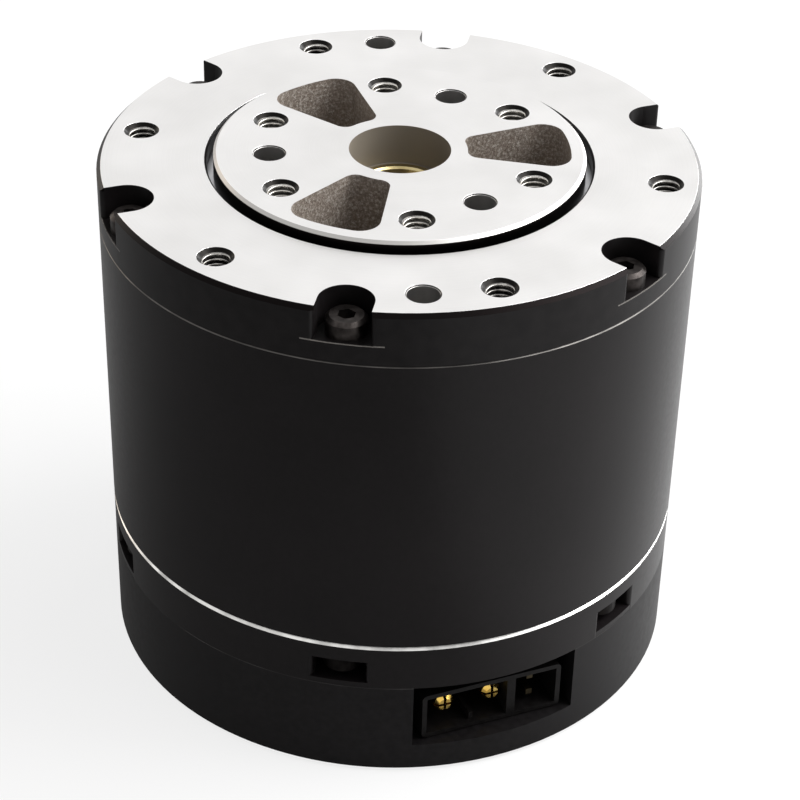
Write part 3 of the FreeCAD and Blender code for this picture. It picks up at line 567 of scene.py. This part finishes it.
def thread_ridges(name, mount, first_angle, body, material):
    """The thread crests that line a ring of tapped holes.

    In each hole a ridge climbs a helix: at turn t it stands at the angle 2 pi t and at the
    depth THREAD_START plus the pitch times t. Its section is a triangle whose base lies in the
    hole's wall and whose crest stands inwards by the thread height, which swells from 0 at both
    ends of the helix.
    """
    count, circle = mount["dims"]["count"], mount["dims"]["pcd_mm"] / 2 * MM
    wall = mount["dims"]["hole_r_mm"] * MM
    surface = mount["pos_m"][2]
    turns = THREAD_DEPTH / THREAD_PITCH - THREAD_TURNS_SPARED
    t = np.linspace(0, turns, int(turns * THREAD_STEPS))[:, None]
    swell = np.clip(np.minimum(t, turns - t) * THREAD_SWELL, 0.02, 1)
    inwards = np.array([[-THREAD_SINK, 1.0, -THREAD_SINK]]) * THREAD_HEIGHT * swell
    along = np.array([[-THREAD_HALF_FOOT, 0.0, THREAD_HALF_FOOT]]) * THREAD_PITCH
    across = wall - inwards
    angle = 2 * math.pi * t
    holes = first_angle + 2 * math.pi * np.arange(count)[:, None, None] / count
    x = across * np.cos(angle) + circle * np.cos(holes)
    y = across * np.sin(angle) + circle * np.sin(holes)
    z = surface - THREAD_START - t * THREAD_PITCH + along
    bars(name, x, y, z, body, material)


def pocket_sills(material):
    """The low sills that close the foot of the band's six screw pockets.

    Each is a curved bar. Its sections stand at even steps from -h to h about its pocket's
    angle, and a section's four corners lie on two radii and at two heights.
    """
    pockets = POCKET_ANGLE + 2 * math.pi * np.arange(POCKET_COUNT)[:, None, None] / POCKET_COUNT
    turn = pockets + np.linspace(-SILL_HALF_ANGLE, SILL_HALF_ANGLE, SILL_SECTIONS)[:, None]
    outer, inner = BODY_RADIUS - 2 * SKIN, BODY_RADIUS - SILL_DEPTH
    foot, top = CAP_TOP, CAP_TOP + SILL_HEIGHT
    reach, z = np.array([(outer, foot), (outer, top), (inner, top), (inner, foot)]).T
    bars("pocket_sills", reach * np.cos(turn), reach * np.sin(turn), z, "housing",
         material, smooth=False)


# ---- dressing the nodes ----
def give(material, *nodes):
    """Puts a finish on CAD nodes."""
    for name in nodes:
        slots = frame["nodes"][name].data.materials
        slots.clear()
        slots.append(material)


def dress():
    """Gives every node its finish, and the band its sills."""
    steel = plain_metal("ground_steel", (0.42, 0.42, 0.43), (0.60, 0.60, 0.61), 0.3)
    gears = plain_metal("hobbed_gear_steel", (0.26, 0.26, 0.27), (0.44, 0.43, 0.43), 0.36)
    brass = plain_metal("turned_brass", (0.34, 0.27, 0.12), (0.60, 0.50, 0.28), 0.24)
    gold = plain_metal("gold_plate", (0.72, 0.44, 0.08), (0.98, 0.72, 0.22), 0.2, 900.0)
    nickel = plain_metal("nickel_plate", (0.50, 0.49, 0.48), (0.66, 0.65, 0.63), 0.22)
    laminations = plain_metal("stacked_laminations", (0.10, 0.10, 0.11), (0.26, 0.26, 0.28),
                              0.4, 300.0, 0.01 * MM, (0.2, 0.2, 12.0))
    copper = plain_metal("enamelled_copper", (0.34, 0.11, 0.04), (0.62, 0.26, 0.11), 0.35,
                         260.0, 0.02 * MM, (1.0, 1.0, 9.0))
    black_oxide = plain_metal("black_oxide_screws", (0.022, 0.019, 0.018),
                              (0.060, 0.053, 0.050), 0.42, 1400.0)
    # Painted shade: the signal pins are a near black copy of plated pin metal, deep in the shell.
    dull = plain_metal("painted_shade_signal_pins", (0.030, 0.025, 0.016), (0.075, 0.060, 0.036), 0.4,
                       900.0)
    give(front_flange_finish(), "front_flange")
    give(output_disc_finish(), "output_flange")
    give(satin_black("tube_satin_black", TUBE_TOP - TUBE_BEVEL, TUBE_TOP - SKIN,
                     TUBE_BEVEL_METAL), "main_housing")
    band = satin_black("band_satin_black", TUBE_BOTTOM - HOUSING_BEVEL + 2 * SKIN,
                       TUBE_BOTTOM + SKIN / 10, BEVEL_METAL)
    give(band, "rear_housing")
    pocket_sills(band)
    # The cap's top rim gets a painted highlight.
    give(moulded_black("cap_moulding", CAP_BLACK, 0.36, CAP_TOP - CAP_EDGE), "rear_cap")
    give(moulded_black("connector_nylon", NYLON_BLACK, 0.34), "connector_shell")
    give(moulded_black("moulded_packages", PACKAGE_BLACK, 0.5), "board_components")
    shaded = plain_metal("shaded_black_screws", (0.006, 0.005, 0.005), (0.016, 0.014, 0.013), 0.5,
                         1400.0)
    give(black_oxide, "front_flange_screws", "rear_cap_screws")
    give(shaded, "rear_housing_screws")
    give(brass, "centre_bush", "output_bearing_cage", "encoder_magnet_holder")
    give(gold, "connector_power_pins")
    give(dull, "connector_signal_pins")
    give(nickel, "rotor_magnets", "encoder_magnet")
    give(laminations, "stator_core")
    give(copper, "stator_coils", "motor_leads")
    give(solder_mask(), "driver_board")
    gear_nodes = ["ring_gear", "stage1_carrier", "rotor_shaft"]
    gear_nodes += [f"stage{stage}_planet_{letter}" for stage in (1, 2) for letter in "abc"]
    give(gears, *gear_nodes)
    give(steel, "output_retaining_ring", "output_bearing_inner_race",
         "output_bearing_outer_race", "output_bearing_rollers", "stage2_plate", "stage2_pins",
         "stage1_pins", "rotor_bell", "rotor_bearing_inner_rings", "rotor_bearing_outer_rings",
         "board_screws")


def cut_threads():
    """Lines the tapped holes of the flange and of the disc."""
    # Painted shade: the flange's thread crests are a darker copy of the same cut metal as the
    # disc's.
    flange_shaded_cut = plain_metal("flange_thread_painted_shade", (0.20, 0.19, 0.18), (0.62, 0.60, 0.57), 0.25,
                             1200.0)
    disc_cut = plain_metal("disc_thread_metal", (0.40, 0.38, 0.35), (0.76, 0.74, 0.70), 0.25,
                           1200.0)
    thread_ridges("flange_threads", MOUNTS["flange_bolts"], FLANGE_THREAD_ANGLE, "housing",
                  flange_shaded_cut)
    thread_ridges("output_threads", MOUNTS["output_bolts"], OUTPUT_THREAD_ANGLE, "output",
                  disc_cut)


# ---- floor, light and camera ----
def white_to_the_eye(tree, surface, share=1.0, gloss_strength=1.0):
    """Mixes a surface with plain white where the eye, a gloss or a glass looks at it.

    A gloss sees the white at its own strength.
    """
    path = add(tree, "ShaderNodeLightPath")
    glossy = path.outputs["Is Glossy Ray"]
    seen = either(tree, path.outputs["Is Camera Ray"], glossy,
                  path.outputs["Is Transmission Ray"])
    glow = add(tree, "ShaderNodeEmission")
    glow.inputs["Color"].default_value = (1, 1, 1, 1)
    link(tree, mix_number(tree, glossy, 1.0, gloss_strength), glow.inputs["Strength"])
    mixed = add(tree, "ShaderNodeMixShader")
    link(tree, math_node(tree, "MULTIPLY", seen, share), mixed.inputs[0])
    link(tree, surface, mixed.inputs[1])
    link(tree, glow.outputs[0], mixed.inputs[2])
    return mixed.outputs[0]


def floor():
    """A wide pale floor that keeps a faint shadow under the object.

    What glossy rays see of it carries painted shade: its white glow dims towards the left, so the
    black coat mirrors it darker there.
    """
    mesh = bpy.data.meshes.new("studio_floor")
    corners = np.array([(-1, -1), (1, -1), (1, 1), (-1, 1)]) * FLOOR_HALF_SIDE
    mesh.from_pydata([(x, y, -FLOOR_DROP) for x, y in corners], [], [(0, 1, 2, 3)])
    piece = bpy.data.objects.new("studio_floor", mesh)
    bpy.context.scene.collection.objects.link(piece)
    material, tree, shader = new_finish("pale_floor")
    shader.inputs["Base Color"].default_value = (0.9, 0.9, 0.9, 1)
    shader.inputs["Roughness"].default_value = 0.9
    shader.inputs["Specular IOR Level"].default_value = 0.1
    _, x, _, _ = place(tree)
    # Painted shade: the floor's glow for glossy rays dims towards the left.
    floor_glow_shade = add(tree, "ShaderNodeMapRange", interpolation_type="SMOOTHSTEP")
    for name, value in (("From Min", FLOOR_DIM_X), ("From Max", FLOOR_BRIGHT_X),
                        ("To Min", FLOOR_DIM), ("To Max", 1.0)):
        floor_glow_shade.inputs[name].default_value = value
    link(tree, x, floor_glow_shade.inputs["Value"])
    output = tree.nodes["Material Output"]
    white = white_to_the_eye(tree, shader.outputs[0], FLOOR_WHITE, floor_glow_shade.outputs[0])
    link(tree, white, output.inputs["Surface"])
    mesh.materials.append(material)


def world():
    """A dim even sky that looks plain white to the eye and in a gloss."""
    made = bpy.data.worlds.new("studio_world")
    bpy.context.scene.world = made
    made.use_nodes = True
    tree = made.node_tree
    tree.nodes.clear()
    dim = add(tree, "ShaderNodeBackground", Strength=0.28)
    dim.inputs["Color"].default_value = (1, 1, 1, 1)
    output = add(tree, "ShaderNodeOutputWorld")
    link(tree, white_to_the_eye(tree, dim.outputs[0]), output.inputs["Surface"])


def lamp(name, size, power, azimuth, elevation, distance, colour=(1, 1, 1)):
    """A square area lamp that faces the middle of the object from a direction in degrees."""
    data = bpy.data.lights.new(name, "AREA")
    data.size = size
    data.energy = power
    data.color = colour
    made = bpy.data.objects.new(name, data)
    bpy.context.scene.collection.objects.link(made)
    a, e = math.radians(azimuth), math.radians(elevation)
    way = Vector((math.sin(a) * math.cos(e), -math.cos(a) * math.cos(e), math.sin(e)))
    made.location = way * distance + Vector((0, 0, CAMERA_AIM_HEIGHT))
    made.rotation_mode = "QUATERNION"
    made.rotation_quaternion = way.to_track_quat("Z", "Y")


def lights():
    """Two soft keys on the right, a rim light behind each shoulder, the left one faint and warm."""
    lamp("key_above", 0.5, 3.4, 85, 58, 0.7)
    lamp("key_right", 0.4, 3.4, 98, 38, 0.6)
    lamp("rim_right", 0.4, 3.4, 138, 6, 0.6)
    lamp("rim_left", 0.30, 0.3, -125, 10, 0.6, (1.0, 0.82, 0.62))


def camera():
    """A long lens that looks down at the part, turned a little about its own axis."""
    data = bpy.data.cameras.new("studio_camera")
    data.lens = CAMERA_LENS
    data.sensor_width = CAMERA_SENSOR
    data.clip_start = 0.01
    data.clip_end = 10.0
    made = bpy.data.objects.new("studio_camera", data)
    bpy.context.scene.collection.objects.link(made)
    down, side = math.sin(CAMERA_ELEVATION), math.cos(CAMERA_ELEVATION)
    back, right, up = Vector((0, -side, down)), Vector((1, 0, 0)), Vector((0, down, side))
    aim = Vector((0, 0, CAMERA_AIM_HEIGHT)) + right * CAMERA_AIM_RIGHT + up * CAMERA_AIM_UP
    level = Matrix((right, up, back)).transposed()
    made.matrix_world = (Matrix.Translation(aim + back * CAMERA_DISTANCE)
                         @ level.to_4x4() @ Matrix.Rotation(CAMERA_ROLL, 4, "Z"))
    bpy.context.scene.camera = made


def main():
    """Builds the whole scene round the frame."""
    camera()
    dress()
    cut_threads()
    floor()
    world()
    lights()
    bpy.context.scene.view_settings.view_transform = "Standard"


main()
bpy.context.view_layer.update()
